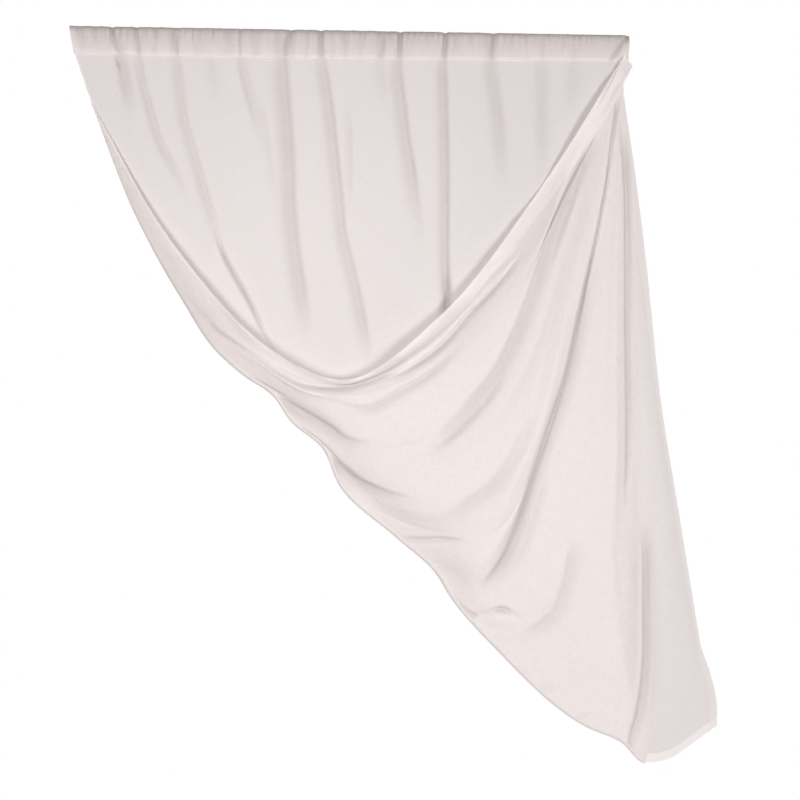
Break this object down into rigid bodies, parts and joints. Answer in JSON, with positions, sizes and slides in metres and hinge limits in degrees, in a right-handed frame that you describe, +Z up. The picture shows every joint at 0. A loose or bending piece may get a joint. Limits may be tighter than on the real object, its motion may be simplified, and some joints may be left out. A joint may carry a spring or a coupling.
{
  "type": "rod pocket curtain panel",
  "caption": "Sheer white curtain panel hung from a rod pocket, its lower left corner drawn up across the front to the top right, so the cloth falls in a swag and a tail",
  "frame": {"origin": "the middle of the rod pocket's top edge, which the rod holds up", "axes": "X runs along the rod towards the caught corner, Z is up, and the front with the swag faces minus Y"},
  "size_m": [1.2841, 0.1038, 1.451],
  "materials": {
    "panel_cloth": "sheer white plain weave with slubs, matt",
    "rod_pocket_cloth": "the same sheer white plain weave, doubled, matt"
  },
  "bodies": {
    "root": {"panel": "panel_cloth", "rod_pocket": "rod_pocket_cloth"}
  },
  "joints": []
}
